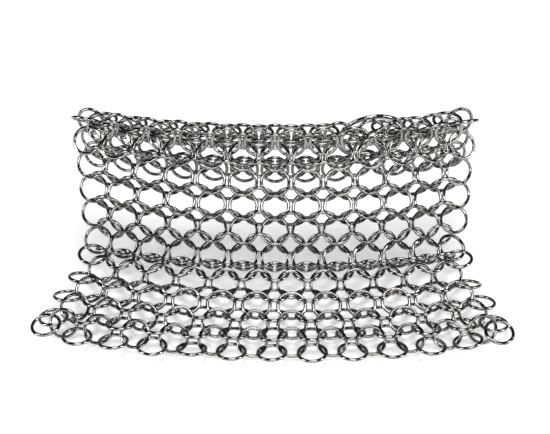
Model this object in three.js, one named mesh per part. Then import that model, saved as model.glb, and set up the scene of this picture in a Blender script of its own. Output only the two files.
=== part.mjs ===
// Chain mail pan scrubber: a square sheet of linked steel rings draped over the rim of a deep pan, with a
// large hanging ring. Each solid row below is the space that one row of rings takes up; the rows alternate
// between wide rows and narrow rows, as the rings do, and lie edge to edge along the draped sheet.
// The frame's origin is the middle of the sheet on top of the rim. +X runs along the rim, -Y points away
// from the pan, +Z is up.
import * as THREE from 'three';

// Rings and sheet, in millimetres
const RING_RADIUS = 5.7;            // to the middle of the wire
const RING_WIRE = 1.45;
const SHEET_THICKNESS = 6.2;
const WIDE_ROWS = 14;
const HALF_COLUMNS = 6;             // ring places either side of the middle one, in a wide row
const CREST_ROW = 3;                // wide rows are counted from 0 at the inner edge
const LAST_ROW = WIDE_ROWS - 1;
const ROW_GAP = 0.4;                // clear space between neighbouring rows
const FOLD_GAP = 1.8;               // clear space where two bodies meet
const NARROW_ROW_OVERHANG = 0.5;    // how far a narrow row reaches past its last ring centre

// How the rings are spaced: square on the pan's side, spread sideways and drawn in on the table
const SPACING_HANGING = 13.3;
const SPACING_FRONT = 16.1;
const PITCH_HANGING = 12.2;
const PITCH_FRONT = 9.6;
const SPREAD_STARTS = 8.25;         // row where the spreading begins

// The drape, seen from the side
const RIM_BEND = 7;
const INNER_WALL_ANGLE = THREE.MathUtils.degToRad(68);
const FREE_DROP = 44;
const FOOT_BEND = 8;
const TABLE_SLOPE = THREE.MathUtils.degToRad(4.6);
const FOOT_ROW = 9;

// The drape, seen from above: how far the ends of a row stand back from its middle
const BOW_AT_RIM = 12;
const BOW_AT_FOOT = 10.3;
const BOW_AT_FRONT = 11.8;
const SKEW = 0.3;                   // each column hangs this much lower than the one to its left
const DRIFT = -0.31;                // sideways creep of each row lying on the table
const END_TAPER = 0.03;             // share of its place by which the end ring of a hanging row is drawn in

// The rings that move on their own
const HANGING_RADIUS = 14.4;
const HANGING_WIRE = 1.9;
const HANGING_COLUMN = 3.1;
const HANGING_CLEARANCE = 2.8;      // from the sheet's surface to the middle of the ring's wire
const CORNER_TILT = THREE.MathUtils.degToRad(16);
const RING_SIDES = 16;
const WIRE_SIDES = 6;

const STEEL = { color: 0xb9b7b4, roughness: 0.22, metalness: 1 };
const DARK_STEEL = { color: 0xa3a19f, roughness: 0.26, metalness: 1 };

const smooth = (t) => {
  const c = THREE.MathUtils.clamp(t, 0, 1);
  return c * c * (3 - 2 * c);
};

const SPREAD_LENGTH = LAST_ROW - SPREAD_STARTS;
const spreadAt = (row) => smooth((row - SPREAD_STARTS) / SPREAD_LENGTH);
const spacingAt = (row) => THREE.MathUtils.lerp(SPACING_HANGING, SPACING_FRONT, spreadAt(row));

// Length of sheet between the crest and a row: the row pitch summed along the sheet.
function lengthTo(row) {
  const t = Math.max((row - SPREAD_STARTS) / SPREAD_LENGTH, 0);
  const drawnIn = t < 1 ? t ** 3 - t ** 4 / 2 : t - 0.5;
  return PITCH_HANGING * (row - CREST_ROW) + (PITCH_FRONT - PITCH_HANGING) * SPREAD_LENGTH * drawnIn;
}

// The sheet's middle line in the side view, as [distance out from the pan, height].
function sideLine(length) {
  if (length < 0) {
    const bent = Math.min(-length / RIM_BEND, INNER_WALL_ANGLE);
    const straight = -length - bent * RIM_BEND;
    return [
      -RIM_BEND * Math.sin(bent) - straight * Math.cos(INNER_WALL_ANGLE),
      -RIM_BEND * (1 - Math.cos(bent)) - straight * Math.sin(INNER_WALL_ANGLE),
    ];
  }
  const overRim = Math.min(length / RIM_BEND, Math.PI / 2);
  let left = length - overRim * RIM_BEND;
  const drop = Math.min(left, FREE_DROP);
  left -= drop;
  const turn = Math.min(left / FOOT_BEND, Math.PI / 2 - TABLE_SLOPE);
  left -= turn * FOOT_BEND;
  return [
    RIM_BEND * Math.sin(overRim) + FOOT_BEND * (1 - Math.cos(turn)) + left * Math.cos(TABLE_SLOPE),
    -RIM_BEND * (1 - Math.cos(overRim)) - drop - FOOT_BEND * Math.sin(turn) - left * Math.sin(TABLE_SLOPE),
  ];
}

function bowAt(row) {
  return row < FOOT_ROW
    ? THREE.MathUtils.lerp(BOW_AT_RIM, BOW_AT_FOOT, smooth((row - CREST_ROW) / (FOOT_ROW - CREST_ROW)))
    : THREE.MathUtils.lerp(BOW_AT_FOOT, BOW_AT_FRONT, smooth((row - FOOT_ROW) / (LAST_ROW - FOOT_ROW)));
}

// A place on the sheet's middle surface. Column 0 is the middle and row 0 the inner edge. Seen from above,
// each row lies on an arc.
function sheetPoint(column, row) {
  const skewed = SKEW * column * smooth((row - CREST_ROW) / 1.5);
  const [out, height] = sideLine(lengthTo(row) + skewed);
  const halfWidth = HALF_COLUMNS * spacingAt(row);
  const arcRadius = halfWidth ** 2 / (2 * bowAt(row));
  const share = column / HALF_COLUMNS;
  const taper = END_TAPER * THREE.MathUtils.clamp((row - CREST_ROW - 0.5) / 1.5, 0, 1);
  const turn = (halfWidth * share * (1 - taper * share ** 4)) / arcRadius;
  const across = arcRadius * Math.sin(turn) + DRIFT * Math.max(row - FOOT_ROW, 0);
  return new THREE.Vector3(across, arcRadius * (1 - Math.cos(turn)) - out, height);
}

// The sheet's upper or outer side, found from the slopes of the surface along and across the rows.
function sheetNormal(column, row) {
  const step = 0.05;
  const along = sheetPoint(column + step, row).sub(sheetPoint(column - step, row));
  const down = sheetPoint(column, row + step).sub(sheetPoint(column, row - step));
  return down.cross(along).normalize();
}

// A closed solid from a list of sections, each the same number of points in the same order.
function loft(sections, closed = false) {
  const sides = sections[0].length;
  const faces = [];
  const joins = closed ? sections.length : sections.length - 1;
  for (let i = 0; i < joins; i += 1) {
    const here = i * sides;
    const next = ((i + 1) % sections.length) * sides;
    for (let k = 0; k < sides; k += 1) {
      const m = (k + 1) % sides;
      faces.push(here + k, here + m, next + m, here + k, next + m, next + k);
    }
  }
  if (!closed) {
    const last = (sections.length - 1) * sides;
    for (let k = 1; k < sides - 1; k += 1) {
      faces.push(0, k + 1, k, last, last + k, last + k + 1);
    }
  }
  const geometry = new THREE.BufferGeometry();
  geometry.setFromPoints(sections.flat());
  geometry.setIndex(faces);
  if (signedVolume(geometry) < 0) {
    faces.reverse();
    geometry.setIndex(faces);
  }
  geometry.computeVertexNormals();
  return geometry;
}

function signedVolume(geometry) {
  const at = (i) => new THREE.Vector3().fromBufferAttribute(geometry.attributes.position, geometry.index.getX(i));
  let total = 0;
  for (let i = 0; i < geometry.index.count; i += 3) {
    total += at(i).dot(at(i + 1).cross(at(i + 2)));
  }
  return total;
}

// One row of rings as a strip of the draped sheet, between the rows just before and just after it.
function rowStrip(row, firstColumn, lastColumn, ends, gaps) {
  const half = SHEET_THICKNESS / 2;
  const pitch = lengthTo(row + 0.25) - lengthTo(row - 0.25);
  const from = row - 0.25 + (0.5 * gaps.before) / (2 * pitch) - gaps.reachBefore;
  const to = row + 0.25 - (0.5 * gaps.after) / (2 * pitch) + gaps.reachAfter;
  const columns = [firstColumn - ends / spacingAt(row)];
  for (let column = firstColumn; column <= lastColumn; column += 1) {
    columns.push(column);
  }
  columns.push(lastColumn + ends / spacingAt(row));
  const sections = columns.map((column) => {
    const rows = [from, row, to];
    const side = (sign) => rows.map((r) => sheetPoint(column, r).addScaledVector(sheetNormal(column, r), sign * half));
    return [...side(-1), ...side(1).reverse()];
  });
  return loft(sections);
}

// A ring of round wire, centred on the origin in the XZ plane, with a flat facet at its top.
function ringGeometry(radius, wire) {
  const sections = [];
  for (let i = 0; i < RING_SIDES; i += 1) {
    const turn = (2 * Math.PI * (i + 0.5)) / RING_SIDES;
    const section = [];
    for (let k = 0; k < WIRE_SIDES; k += 1) {
      const around = (2 * Math.PI * (k + 0.5)) / WIRE_SIDES;
      const out = radius + (wire / 2) * Math.sin(around);
      const side = (wire / 2) * Math.cos(around);
      section.push(new THREE.Vector3(out * Math.sin(turn), side, out * Math.cos(turn)));
    }
    sections.push(section);
  }
  return loft(sections, true);
}

const mesh = (name, geometry, finish) => {
  const made = new THREE.Mesh(geometry, new THREE.MeshStandardMaterial(finish));
  made.name = name;
  return made;
};

const scrubber = new THREE.Group();
const rowLabel = (number) => String(number).padStart(2, '0');
const FOLDS = [2.25, 8.25, 11.25];  // the places between rows where the sheet folds

for (let step = 0; step <= 2 * LAST_ROW; step += 1) {
  const row = step / 2;
  const isWide = step % 2 === 0;
  const gapAt = (edge) => (FOLDS.includes(edge) ? FOLD_GAP : ROW_GAP);
  const gaps = {
    before: gapAt(row - 0.25),
    after: gapAt(row + 0.25),
    reachBefore: row === 0 ? 0.2 : 0,
    reachAfter: row === LAST_ROW ? 0.32 : 0,
  };
  const isFront = row === LAST_ROW;
  const outermost = isWide ? HALF_COLUMNS - (isFront ? 1 : 0) : HALF_COLUMNS - 0.5;
  const ends = isWide ? RING_RADIUS + RING_WIRE / 2 : NARROW_ROW_OVERHANG;
  const name = `${isWide ? 'wide' : 'narrow'}_row_${rowLabel(Math.floor(row) + 1)}`;
  const strip = rowStrip(row, -outermost, outermost, ends, gaps);
  scrubber.add(mesh(name, strip, isWide ? STEEL : DARK_STEEL));
}

// The two front corner rings lie free on the table, each leaning back on the last narrow row.
const cornerGeometry = ringGeometry(RING_RADIUS, RING_WIRE);
for (const [name, side] of [['corner_ring_left', -1], ['corner_ring_right', 1]]) {
  const ring = mesh(name, cornerGeometry, STEEL);
  ring.position.copy(sheetPoint(side * HALF_COLUMNS, LAST_ROW));
  ring.rotation.x = Math.PI / 2 + CORNER_TILT;
  scrubber.add(ring);
}

// The hanging ring stands behind the rim on the inner edge row, lying against the mail on the wall.
const hangingRing = mesh('hanging_ring', ringGeometry(HANGING_RADIUS, HANGING_WIRE), STEEL);
const offTheWall = sheetNormal(HANGING_COLUMN, 0);
const alongTheWall = new THREE.Vector3(offTheWall.y, -offTheWall.x, 0).normalize();
const upTheWall = alongTheWall.clone().cross(offTheWall);
hangingRing.quaternion.setFromRotationMatrix(new THREE.Matrix4().makeBasis(alongTheWall, offTheWall, upTheWall));
hangingRing.position.copy(sheetPoint(HANGING_COLUMN, 0))
  .addScaledVector(offTheWall, SHEET_THICKNESS / 2 + HANGING_CLEARANCE)
  .addScaledVector(upTheWall, HANGING_RADIUS);
scrubber.add(hangingRing);

export default scrubber;
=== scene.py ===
import math

import bpy
import numpy as np
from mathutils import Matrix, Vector


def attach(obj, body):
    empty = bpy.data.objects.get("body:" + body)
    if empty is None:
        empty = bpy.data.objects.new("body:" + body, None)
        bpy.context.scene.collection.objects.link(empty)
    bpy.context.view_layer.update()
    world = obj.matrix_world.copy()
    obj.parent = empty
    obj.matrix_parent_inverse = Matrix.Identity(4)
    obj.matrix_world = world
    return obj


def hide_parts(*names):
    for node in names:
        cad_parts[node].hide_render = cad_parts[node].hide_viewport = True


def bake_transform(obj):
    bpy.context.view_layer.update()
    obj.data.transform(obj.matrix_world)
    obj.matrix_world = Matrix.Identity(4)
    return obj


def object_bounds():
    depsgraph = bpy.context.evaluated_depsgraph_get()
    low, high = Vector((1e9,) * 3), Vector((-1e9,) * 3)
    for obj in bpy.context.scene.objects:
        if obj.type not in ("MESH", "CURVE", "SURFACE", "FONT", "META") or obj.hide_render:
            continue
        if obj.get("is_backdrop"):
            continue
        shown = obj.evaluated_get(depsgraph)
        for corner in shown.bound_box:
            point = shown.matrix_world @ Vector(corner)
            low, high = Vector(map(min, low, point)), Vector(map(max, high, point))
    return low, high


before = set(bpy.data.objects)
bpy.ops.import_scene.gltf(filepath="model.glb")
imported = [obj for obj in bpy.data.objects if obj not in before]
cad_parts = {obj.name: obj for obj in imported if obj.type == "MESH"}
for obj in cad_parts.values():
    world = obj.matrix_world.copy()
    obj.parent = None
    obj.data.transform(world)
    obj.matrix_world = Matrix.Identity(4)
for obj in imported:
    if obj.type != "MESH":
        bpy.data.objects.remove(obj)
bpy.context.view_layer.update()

# A square of linked steel rings draped over a pan rim and out onto the table. Every ring is placed on the
# draped sheet, the rings are then moved in small steps until the right ones are linked and their wires lie
# side by side, and each row becomes one piece. Lengths are in metres and angles in radians.
MM = 0.001

# Rings
RING_RADIUS = 5.7 * MM                # to the middle of the wire
RING_WIRE = 0.725 * MM                # radius of the wire
HANGING_RADIUS = 14.4 * MM
HANGING_WIRE = 0.95 * MM
HANGING_COLUMN = 3.1
HANGING_STANDOFF = 5.4 * MM           # from the sheet to the middle of the ring's wire

# Places of rings: (row step, column), with the hanging ring in a place of its own
HANGING_PLACE = ("hanging", 0)
HOOKED_PLACE = (0, 3.0)               # the edge ring that carries the hanging ring

# Where that edge ring starts out against the hanging ring's wire
HOOK_RISE = 0.8 * MM
HOOK_GRIP = 3 * MM
HOOK_SHIFT = 2.4 * MM

# The sheet: wide rows are counted from 0 at the inner edge, narrow rows lie at the halves between them
HALF_COLUMNS = 6
CREST_ROW = 3
LAST_ROW = 13
LAST_STEP = 2 * LAST_ROW              # a step is half a row: even steps are wide rows, odd ones narrow
FOOT_ROW = 9
SPACING_HANGING = 13.3 * MM
SPACING_FRONT = 16.1 * MM
PITCH_HANGING = 12.2 * MM
PITCH_FRONT = 9.6 * MM
SPREAD_STARTS = 8.25

# The drape, from the side and from above
RIM_BEND = 7 * MM
INNER_WALL_ANGLE = math.radians(68)
FREE_DROP = 44 * MM
FOOT_BEND = 8 * MM
TABLE_SLOPE = math.radians(4.6)
BOW_AT_RIM = 12 * MM
BOW_AT_FOOT = 10.3 * MM
BOW_AT_FRONT = 11.8 * MM
SKEW = 0.3 * MM
DRIFT = -0.31 * MM
END_TAPER = 0.03
SETTLING_ROWS = 1.5                   # skew, taper and the turn onto the table come in over this many rows

# How rings lie in it
LEAST_TILT_COSINE = 0.97              # rings never lie quite flat in the sheet
FOOT_LAG = 0.9                        # how many rows behind their own place rings near the foot still lean
LAG_STARTS, LAG_GROWS_OVER = 7.2, 1.3
LAG_ENDS, LAG_FADES_OVER = 9.5, 1.5
WIDE_LEAN_ON_TABLE = 0.35
WIDE_SINK = -0.9 * MM
NARROW_RISE = 0.4 * MM
CORNER_LEAN = math.radians(14)        # the front corner rings lean on the narrow row behind them
HANGING_TURN = math.radians(1.5)      # how unevenly rings hang and lie
TABLE_TURN = math.radians(5)

# Linking
CLOSE_BY = 4 * MM                     # rings this near each other are kept from cutting each other
WIRE_CLEARANCE = 0.05 * MM
LONGEST_PUSH = 1.5 * MM
LINKING_ROUNDS = 600
WIRE_SAMPLES = 32
CLOSEST_POINT_ROUNDS = 8
PUSH_SHARE = 0.35                     # of each fault put right in one round
SHIFT_SHARE = 0.4                     # of the push that moves a ring
SPIN_SHARE = 0.8                      # of the push that turns it
TINY = 1e-9


# ---- the draped sheet ----

def smooth(t):
    t = min(max(t, 0.0), 1.0)
    return t * t * (3 - 2 * t)


def lerp(a, b, t):
    return a + (b - a) * t


def spacing_at(row):
    return lerp(SPACING_HANGING, SPACING_FRONT, smooth((row - SPREAD_STARTS) / (LAST_ROW - SPREAD_STARTS)))


def length_to(row):
    """Length of sheet from the crest to a row."""
    spread = LAST_ROW - SPREAD_STARTS
    t = max((row - SPREAD_STARTS) / spread, 0)
    drawn_in = t**3 - t**4 / 2 if t < 1 else t - 0.5
    return PITCH_HANGING * (row - CREST_ROW) + (PITCH_FRONT - PITCH_HANGING) * spread * drawn_in


def side_line(length):
    """The sheet's middle line in the side view: distance out from the pan, and height."""
    if length < 0:
        bent = min(-length / RIM_BEND, INNER_WALL_ANGLE)
        straight = -length - bent * RIM_BEND
        out = -RIM_BEND * math.sin(bent) - straight * math.cos(INNER_WALL_ANGLE)
        return out, -RIM_BEND * (1 - math.cos(bent)) - straight * math.sin(INNER_WALL_ANGLE)
    over_rim = min(length / RIM_BEND, math.pi / 2)
    left = length - over_rim * RIM_BEND
    drop = min(left, FREE_DROP)
    left -= drop
    turn = min(left / FOOT_BEND, math.pi / 2 - TABLE_SLOPE)
    left -= turn * FOOT_BEND
    out = RIM_BEND * math.sin(over_rim) + FOOT_BEND * (1 - math.cos(turn)) + left * math.cos(TABLE_SLOPE)
    fallen = RIM_BEND * (1 - math.cos(over_rim)) + drop + FOOT_BEND * math.sin(turn)
    fallen += left * math.sin(TABLE_SLOPE)
    return out, -fallen


def bow_at(row):
    if row < FOOT_ROW:
        return lerp(BOW_AT_RIM, BOW_AT_FOOT, smooth((row - CREST_ROW) / (FOOT_ROW - CREST_ROW)))
    return lerp(BOW_AT_FOOT, BOW_AT_FRONT, smooth((row - FOOT_ROW) / (LAST_ROW - FOOT_ROW)))


def sheet_point(column, row):
    skewed = SKEW * column * smooth((row - CREST_ROW) / SETTLING_ROWS)
    out, height = side_line(length_to(row) + skewed)
    half_width = HALF_COLUMNS * spacing_at(row)
    arc_radius = half_width**2 / (2 * bow_at(row))
    share = column / HALF_COLUMNS
    taper = END_TAPER * min(max((row - CREST_ROW - 0.5) / SETTLING_ROWS, 0), 1)
    turn = half_width * share * (1 - taper * share**4) / arc_radius
    across = arc_radius * math.sin(turn) + DRIFT * max(row - FOOT_ROW, 0)
    return np.array([across, arc_radius * (1 - math.cos(turn)) - out, height])


def unit(v):
    return v / np.linalg.norm(v)


def sheet_axes(column, row):
    """Directions along the row, down the sheet, and out of its upper side, over one ring's reach."""
    along = unit(sheet_point(column + 0.4, row) - sheet_point(column - 0.4, row))
    down = sheet_point(column, row + 0.5) - sheet_point(column, row - 0.5)
    down = unit(down - along * (down @ along))
    return along, down, np.cross(down, along)


# ---- placing the rings ----

def ring_tilt(row, is_wide):
    """How far a ring leans out of the sheet so that linked wires pass each other. Wide and narrow rows lean
    opposite ways, and the wide rows lie nearly flat once they rest on the table."""
    spacing = spacing_at(row)
    half_pitch = length_to(row + 0.25) - length_to(row - 0.25)
    crossing = RING_RADIUS - 2 * RING_WIRE
    reach = (spacing**2 / 4 + RING_RADIUS**2 - crossing**2) / spacing
    height = math.sqrt(RING_RADIUS**2 - reach**2)
    tilt = math.acos(min(half_pitch / (2 * height), LEAST_TILT_COSINE))
    return tilt * lerp(1, WIDE_LEAN_ON_TABLE, on_table(row)) if is_wide else -tilt


def on_table(row):
    """0 for a row that hangs, 1 for a row that lies on the table."""
    return smooth((row - FOOT_ROW) / SETTLING_ROWS)


def attitude_row(row):
    """The place on the sheet whose slope a ring follows: near the foot, rings hang like those above."""
    grown = smooth((row - LAG_STARTS) / LAG_GROWS_OVER)
    faded = smooth((row - LAG_ENDS) / LAG_FADES_OVER)
    return row - FOOT_LAG * grown * (1 - faded)


def hanging_frame():
    """The lowest point of the hanging ring's wire, and the directions that span its plane: along the inner
    wall, and up it."""
    along, up, off = sheet_axes(HANGING_COLUMN, 0)
    foot = sheet_point(HANGING_COLUMN, 0) + HANGING_STANDOFF * off
    return foot, along, up


class Rings:
    """All the rings, the hanging ring last: their centres, the two directions that span each ring's plane,
    the pairs that lie close to each other, and which of those pairs are linked."""

    def __init__(self, seed):
        self.random = np.random.default_rng(seed)
        self.places = []
        self.centres, self.alongs, self.downs = [], [], []
        for step in range(LAST_STEP + 1):
            self.lay_row(step)
        foot, along, up = hanging_frame()
        self.add(HANGING_PLACE, foot + HANGING_RADIUS * up, along, up)
        self.centres = np.array(self.centres)
        self.alongs = np.array(self.alongs)
        self.downs = np.array(self.downs)
        self.number = {place: i for i, place in enumerate(self.places)}
        hanging = self.number[HANGING_PLACE]
        self.radii = np.full(len(self.places), RING_RADIUS)
        self.wires = np.full(len(self.places), RING_WIRE)
        self.radii[hanging] = HANGING_RADIUS
        self.wires[hanging] = HANGING_WIRE
        self.loose = np.ones(len(self.places))
        self.loose[hanging] = 0
        self.find_pairs(hanging)

    def add(self, place, centre, along, down):
        self.places.append(place)
        self.centres.append(centre)
        self.alongs.append(along)
        self.downs.append(down)

    def lay_row(self, step):
        """Places the rings of one row on the sheet, side by side."""
        row = step / 2
        is_wide = step % 2 == 0
        reach = HALF_COLUMNS if is_wide else HALF_COLUMNS - 0.5
        for column in np.arange(-reach, reach + 0.5):
            along, down, out = sheet_axes(column, attitude_row(row))
            tilt = ring_tilt(row, is_wide)
            lift = on_table(row) * (WIDE_SINK if is_wide else NARROW_RISE)
            if row == LAST_ROW and abs(column) == HALF_COLUMNS:
                tilt, lift = -CORNER_LEAN, 0
            centre = sheet_point(column, row) + lift * out
            leaning_down = math.cos(tilt) * down + math.sin(tilt) * out
            self.add((step, float(column)), centre, along, leaning_down)

    def find_pairs(self, hanging):
        """Each ring links with two of the next row, and the hanging ring with its edge ring."""
        linked = {
            (i, self.number[step + 1, column + side])
            for i, (step, column) in enumerate(self.places[:-1])
            for side in (-0.5, 0.5)
            if (step + 1, column + side) in self.number
        }
        linked.add((self.number[HOOKED_PLACE], hanging))
        reach = self.radii[:, None] + self.radii[None, :] + CLOSE_BY
        distance = np.linalg.norm(self.centres[:, None] - self.centres[None, :], axis=2)
        close = zip(*np.nonzero(np.triu(distance < reach, k=1)))
        self.pairs = np.array(sorted(linked | {(int(i), int(k)) for i, k in close}))
        self.are_linked = np.array([tuple(pair) in linked for pair in self.pairs.tolist()])

    def unsettle(self):
        """Small turns of every ring of the sheet, larger where it lies loose on the table."""
        steps = [step for step, _ in self.places[:-1]]
        sway = np.array([lerp(HANGING_TURN, TABLE_TURN, on_table(step / 2)) for step in steps])
        spins = np.zeros_like(self.centres)
        spins[:-1] = self.random.normal(0, 1, (len(steps), 3)) * sway[:, None]
        self.turn(spins)

    def hook_edge_ring(self):
        """The edge ring that carries the hanging ring stands off the sheet and reaches round its wire."""
        foot, along, up = hanging_frame()
        hooked = self.number[HOOKED_PLACE]
        reach = unit(foot - sheet_point(HANGING_COLUMN, 0.5))
        self.centres[hooked] = foot + HOOK_RISE * up - HOOK_GRIP * reach - HOOK_SHIFT * along
        self.alongs[hooked] = along
        self.downs[hooked] = unit(reach - along * (reach @ along))

    def turn(self, spins):
        """Small turns of each ring about its own centre, then its two directions are made square again."""
        self.alongs = self.alongs + np.cross(spins, self.alongs)
        self.downs = self.downs + np.cross(spins, self.downs)
        self.alongs /= np.linalg.norm(self.alongs, axis=1)[:, None]
        lean = np.sum(self.alongs * self.downs, axis=1)[:, None]
        self.downs -= lean * self.alongs
        self.downs /= np.linalg.norm(self.downs, axis=1)[:, None]

    def row(self, step):
        return [i for i, place in enumerate(self.places) if place[0] == step]

    def wire_points(self):
        """Points round the middle line of every ring's wire."""
        turns = np.linspace(0, 2 * math.pi, WIRE_SAMPLES, endpoint=False)
        arms = (np.cos(turns)[None, :, None] * self.alongs[:, None, :]
                + np.sin(turns)[None, :, None] * self.downs[:, None, :])
        return self.centres[:, None, :] + self.radii[:, None, None] * arms

    def on_wire(self, which, points):
        """The points of the given rings' wires that lie closest to the given points."""
        arms = points - self.centres[which]
        flat = (np.sum(arms * self.alongs[which], axis=1)[:, None] * self.alongs[which]
                + np.sum(arms * self.downs[which], axis=1)[:, None] * self.downs[which])
        flat /= np.maximum(np.linalg.norm(flat, axis=1), TINY)[:, None]
        return self.centres[which] + self.radii[which][:, None] * flat


def nearest_points(rings, points):
    """For each pair of rings, the closest two points of their wires."""
    first, second = rings.pairs.T
    one, two = points[first], points[second]
    square = np.sum((one[:, :, None, :] - two[:, None, :, :]) ** 2, axis=3)
    flat = square.reshape(len(first), -1).argmin(axis=1)
    i, k = np.unravel_index(flat, square.shape[1:])
    every = np.arange(len(first))
    here, there = one[every, i], two[every, k]
    for _ in range(CLOSEST_POINT_ROUNDS):
        here = rings.on_wire(first, there)
        there = rings.on_wire(second, here)
    return here, there


def passes_through(rings, points):
    """For each pair of rings, whether the first one's wire passes through the second one an odd number of
    times, which is when the two are linked."""
    first, second = rings.pairs.T
    normal = np.cross(rings.alongs[second], rings.downs[second])
    arms = points[first] - rings.centres[second][:, None, :]
    height = np.sum(arms * normal[:, None, :], axis=2)
    following = np.roll(height, -1, axis=1)
    crosses = (height < 0) != (following < 0)
    share = height / np.where(crosses, height - following, 1)
    at = arms + share[:, :, None] * (np.roll(arms, -1, axis=1) - arms)
    inside = np.linalg.norm(at, axis=2) < rings.radii[second][:, None]
    return np.sum(crosses & inside, axis=1) % 2 == 1


def settle(rings):
    """Moves wires that are too close apart, and wires on the wrong side of each other across, until the right
    rings are linked and their wires lie side by side. Returns how much too close the worst is."""
    first, second = rings.pairs.T
    clear = rings.wires[first] + rings.wires[second] + WIRE_CLEARANCE
    for _ in range(LINKING_ROUNDS):
        points = rings.wire_points()
        here, there = nearest_points(rings, points)
        gap = here - there
        distance = np.linalg.norm(gap, axis=1)
        side = np.where(passes_through(rings, points) == rings.are_linked, 1, -1)
        push = np.maximum(clear - side * distance, 0)
        if push.max() < WIRE_CLEARANCE / 2:
            break
        push = np.minimum(push, LONGEST_PUSH)
        away = gap / np.maximum(distance, TINY)[:, None] * (side * push * PUSH_SHARE)[:, None]
        shifts = np.zeros_like(rings.centres)
        spins = np.zeros_like(rings.centres)
        for which, at, sign in ((first, here, 1), (second, there, -1)):
            arm = at - rings.centres[which]
            loose = rings.loose[which][:, None]
            np.add.at(shifts, which, sign * away * SHIFT_SHARE * loose)
            np.add.at(spins, which, sign * np.cross(arm, away) / RING_RADIUS**2 * SPIN_SHARE * loose)
        rings.centres += shifts
        rings.turn(spins)
    return push.max()


rings = Rings(seed=11)
rings.unsettle()
rings.hook_edge_ring()
print("wires still", round(settle(rings) / MM, 3), "mm too close")


# ---- ring meshes ----

WIRE_POINTS = 12
EVEN_STATIONS = 32                    # round a ring, away from its seam
FROM_SEAM = 0.24                      # where the even stations start, as an angle from the seam
SEAM_STATIONS = [0.012, 0.028, 0.055, 0.1, 0.16]
SWELL, SWELL_WIDTH = 0.07, 0.1        # shares of the wire's radius, and angles round the ring
GROOVE, GROOVE_WIDTH = 0.26, 0.02


def seam_stations(seam):
    """Angles round a ring: even steps, with extra ones close to the seam where its wire ends meet."""
    fine = np.array([-angle for angle in reversed(SEAM_STATIONS)] + SEAM_STATIONS)
    even = np.linspace(FROM_SEAM, 2 * math.pi - FROM_SEAM, EVEN_STATIONS)
    return seam + np.concatenate([fine, even])


def wire_scale(offset):
    """The wire swells a little where it is closed, with a fine groove at the joint itself."""
    swell = SWELL * np.exp(-((offset / SWELL_WIDTH) ** 2))
    groove = GROOVE * np.exp(-((offset / GROOVE_WIDTH) ** 2))
    return 1 + swell - groove


def ring_mesh(centre, along, down, radius, wire, seam):
    """Vertices and quads of one closed ring of round wire."""
    turns = seam_stations(seam)
    offsets = np.mod(turns - seam + math.pi, 2 * math.pi) - math.pi
    scale = wire_scale(offsets) * wire
    out = np.cos(turns)[:, None] * along + np.sin(turns)[:, None] * down
    side = np.cross(along, down)
    around = np.linspace(0, 2 * math.pi, WIRE_POINTS, endpoint=False)
    section = (np.cos(around)[None, :, None] * out[:, None, :] + np.sin(around)[None, :, None] * side)
    vertices = centre + radius * out[:, None, :] + scale[:, None, None] * section
    steps = len(turns)
    i, k = np.meshgrid(np.arange(steps), np.arange(WIRE_POINTS), indexing="ij")
    following, beside = (i + 1) % steps, (k + 1) % WIRE_POINTS
    quads = np.stack([i * WIRE_POINTS + k, following * WIRE_POINTS + k,
                      following * WIRE_POINTS + beside, i * WIRE_POINTS + beside], axis=-1)
    return vertices.reshape(-1, 3), quads.reshape(-1, 4)


def piece_from(name, parts, tones, material):
    """One mesh object from several rings, each with its own tone stored on its points."""
    vertices, faces, tone, first = [], [], [], 0
    for (points, quads), value in zip(parts, tones):
        vertices.append(points)
        faces.append(quads + first)
        tone.append(np.full(len(points), value))
        first += len(points)
    mesh = bpy.data.meshes.new(name)
    mesh.from_pydata(np.concatenate(vertices).tolist(), [], np.concatenate(faces).tolist())
    mesh.polygons.foreach_set("use_smooth", np.ones(len(mesh.polygons), bool))
    attribute = mesh.attributes.new("tone", "FLOAT", "POINT")
    attribute.data.foreach_set("value", np.concatenate(tone).astype(np.float32))
    mesh.materials.append(material)
    mesh.update()
    piece = bpy.data.objects.new(name, mesh)
    bpy.context.scene.collection.objects.link(piece)
    return piece


# ---- steel ----

STEEL_COLOR = (0.34, 0.332, 0.318)
LARGE_STEEL_COLOR = (0.45, 0.44, 0.41)
ROUGHNESS = 0.1
SMOOTHEST, ROUGHEST = 0.7, 1.5        # shares of the roughness, between scratches and on them
STAIN_SCALE, STAIN_DETAIL = 260.0, 4.0
STAIN_SHARE = 0.5                     # how much stains count beside a ring's own tone
STAINED = 0.42                        # the darkest stain, as a share of the colour
STAIN_ENDS = 0.2                      # below this the colour is darkest
SCRATCH_SCALE, SCRATCH_DETAIL = 2600.0, 3.0
SCRATCH_STRENGTH = 0.12
SCRATCH_DEPTH = 0.05 * MM


def noise(material, place, scale, detail):
    """The output of one noise texture laid over the object's own coordinates."""
    texture = material.node_tree.nodes.new("ShaderNodeTexNoise")
    texture.inputs["Scale"].default_value = scale
    texture.inputs["Detail"].default_value = detail
    material.node_tree.links.new(place.outputs["Object"], texture.inputs["Vector"])
    return texture.outputs["Fac"]


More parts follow.
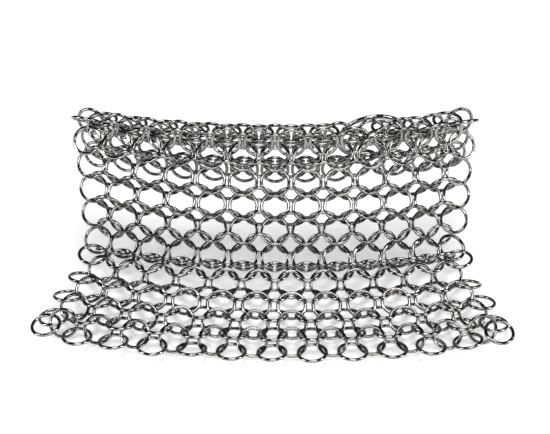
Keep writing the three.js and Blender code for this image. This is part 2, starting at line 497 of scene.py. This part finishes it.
def steel(name, color):
    """Polished drawn steel wire: fine scratches, faint stains, and a tone of its own for each ring."""
    material = bpy.data.materials.new(name)
    material.use_nodes = True
    nodes, links = material.node_tree.nodes, material.node_tree.links
    shader = nodes["Principled BSDF"]
    shader.inputs["Metallic"].default_value = 1.0
    place = nodes.new("ShaderNodeTexCoord")
    stains = noise(material, place, STAIN_SCALE, STAIN_DETAIL)
    scratches = noise(material, place, SCRATCH_SCALE, SCRATCH_DETAIL)

    tone = nodes.new("ShaderNodeAttribute")
    tone.attribute_name = "tone"
    blend = nodes.new("ShaderNodeMath")
    blend.operation = "MULTIPLY_ADD"
    blend.inputs[1].default_value = STAIN_SHARE
    links.new(stains, blend.inputs[0])
    links.new(tone.outputs["Fac"], blend.inputs[2])

    colors = nodes.new("ShaderNodeValToRGB")
    darkest, palest = colors.color_ramp.elements
    darkest.position = STAIN_ENDS
    darkest.color = (*[c * STAINED for c in color], 1)
    palest.position = 1.0
    palest.color = (*color, 1)
    links.new(blend.outputs["Value"], colors.inputs["Fac"])
    links.new(colors.outputs["Color"], shader.inputs["Base Color"])

    rough = nodes.new("ShaderNodeMapRange")
    rough.inputs["To Min"].default_value = ROUGHNESS * SMOOTHEST
    rough.inputs["To Max"].default_value = ROUGHNESS * ROUGHEST
    links.new(scratches, rough.inputs["Value"])
    links.new(rough.outputs["Result"], shader.inputs["Roughness"])

    bump = nodes.new("ShaderNodeBump")
    bump.inputs["Strength"].default_value = SCRATCH_STRENGTH
    bump.inputs["Distance"].default_value = SCRATCH_DEPTH
    links.new(scratches, bump.inputs["Height"])
    links.new(bump.outputs["Normal"], shader.inputs["Normal"])
    return material


RING_STEEL = steel("ring_steel", STEEL_COLOR)
LARGE_STEEL = steel("large_ring_steel", LARGE_STEEL_COLOR)


# ---- rows ----

# Where the sheet bends, between the stretches of its rows
RIM_FOLD_STARTS = 2                   # the rows where each stretch begins
CURTAIN_STARTS = CREST_ROW
FOOT_FOLD_STARTS = 8
FRONT_FOLD_STARTS = 11

TONES = (0.2, 0.8)                    # the range that rings' own tones are drawn from
CORNER_TONE = 0.5
HANGING_TONE = 0.6
HANGING_SEAM = math.radians(250)
CORNERS = {(LAST_STEP, -HALF_COLUMNS): "corner_ring_left", (LAST_STEP, HALF_COLUMNS): "corner_ring_right"}


def join_to_bodies(piece, row):
    """Rows before the rim fold move with the inner flap's body and the curtain rows with the rim drape's
    body; the rows at the rim fold and from the foot fold on only have their placement baked into their
    points.
    """
    if row < RIM_FOLD_STARTS:
        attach(piece, "inner_flap")
    elif row < CURTAIN_STARTS:
        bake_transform(piece)
    elif row < FOOT_FOLD_STARTS:
        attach(piece, "rim_drape")
    elif row < FRONT_FOLD_STARTS:
        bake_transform(piece)
    else:
        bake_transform(piece)


def make_ring(i, seam):
    shape = rings.centres[i], rings.alongs[i], rings.downs[i]
    return ring_mesh(*shape, rings.radii[i], rings.wires[i], seam)


def make_small_ring(i):
    return make_ring(i, rings.random.uniform(0, 2 * math.pi))


def finish_piece(node):
    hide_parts(node)


def make_row(step):
    kind = "wide" if step % 2 == 0 else "narrow"
    node = f"{kind}_row_{step // 2 + 1:02d}"
    parts = [make_small_ring(i) for i in rings.row(step) if rings.places[i] not in CORNERS]
    tones = rings.random.uniform(*TONES, len(parts))
    piece = piece_from(f"rings_{node}", parts, tones, RING_STEEL)
    join_to_bodies(piece, step / 2)
    finish_piece(node)


def make_corner(place, node):
    piece = piece_from(f"ring_{node}", [make_small_ring(rings.number[place])], [CORNER_TONE], RING_STEEL)
    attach(piece, node)
    finish_piece(node)


def make_hanging_ring():
    part = make_ring(rings.number[HANGING_PLACE], HANGING_SEAM)
    piece = piece_from("large_hanging_ring", [part], [HANGING_TONE], LARGE_STEEL)
    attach(piece, "hanging_ring")
    finish_piece("hanging_ring")


for step in range(LAST_STEP + 1):
    make_row(step)
for place, node in CORNERS.items():
    make_corner(place, node)
make_hanging_ring()


# ---- floor, light and camera ----

FLOOR_SIZE = 6
FLOOR_COLOR = (0.94, 0.94, 0.935, 1)
FLOOR_ROUGHNESS = 0.9
FLOOR_GLOW = 0.4
ROOM_COLOR = (0.012, 0.012, 0.013, 1)

LIGHT_POWER = 5
MIDDLE = (0, 0, -0.03)
LIGHTS = (
    # name, place, what it points at, size
    ("overhead", (0.05, -0.1, 1.0), (0, -0.02, -0.03), (0.5, 0.35)),
    ("left_strip", (-0.9, -0.35, 0.45), MIDDLE, (0.12, 0.8)),
    ("right_strip", (0.9, -0.3, 0.45), MIDDLE, (0.12, 0.8)),
    ("front_strip", (0.1, -1.1, 0.35), MIDDLE, (0.9, 0.08)),
)

CAMERA_ELEVATION = math.radians(37)
CAMERA_DISTANCE = 0.5267
CAMERA_TARGET = Vector((0, -0.0139, -0.0329))
CAMERA_LENS = 83.1                    # focal length and sensor width in millimetres, as Blender takes them
CAMERA_SENSOR = 36
NEAREST_VIEW = 0.01


def floor():
    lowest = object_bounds()[0].z
    bpy.ops.mesh.primitive_plane_add(size=FLOOR_SIZE, location=(0, 0, lowest))
    plane = bpy.context.object
    plane.name = "floor"
    material = bpy.data.materials.new("floor")
    material.use_nodes = True
    shader = material.node_tree.nodes["Principled BSDF"]
    shader.inputs["Base Color"].default_value = FLOOR_COLOR
    shader.inputs["Roughness"].default_value = FLOOR_ROUGHNESS
    shader.inputs["Emission Color"].default_value = (1, 1, 1, 1)
    shader.inputs["Emission Strength"].default_value = FLOOR_GLOW
    plane.data.materials.append(material)
    plane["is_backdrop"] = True


def area_light(name, place, target, size):
    light = bpy.data.lights.new(name, "AREA")
    light.shape = "RECTANGLE"
    light.size, light.size_y = size
    light.energy = LIGHT_POWER
    lamp = bpy.data.objects.new(name, light)
    lamp.location = place
    lamp.rotation_mode = "QUATERNION"
    lamp.rotation_quaternion = (Vector(target) - Vector(place)).to_track_quat("-Z", "Y")
    bpy.context.scene.collection.objects.link(lamp)


def surroundings():
    world = bpy.context.scene.world or bpy.data.worlds.new("studio")
    bpy.context.scene.world = world
    world.use_nodes = True
    background = world.node_tree.nodes["Background"]
    background.inputs["Color"].default_value = ROOM_COLOR
    background.inputs["Strength"].default_value = 1.0


def film():
    """Shows colours as they are, with no film look over them."""
    bpy.context.scene.view_settings.view_transform = "Standard"


def camera():
    back = Vector((0, -math.cos(CAMERA_ELEVATION), math.sin(CAMERA_ELEVATION)))
    data = bpy.data.cameras.new("camera")
    data.lens = CAMERA_LENS
    data.sensor_width = CAMERA_SENSOR
    data.clip_start = NEAREST_VIEW
    made = bpy.data.objects.new("camera", data)
    made.location = CAMERA_TARGET + back * CAMERA_DISTANCE
    made.rotation_mode = "QUATERNION"
    made.rotation_quaternion = (-back).to_track_quat("-Z", "Y")
    bpy.context.scene.collection.objects.link(made)
    bpy.context.scene.camera = made


floor()
surroundings()
film()
for light in LIGHTS:
    area_light(*light)
camera()
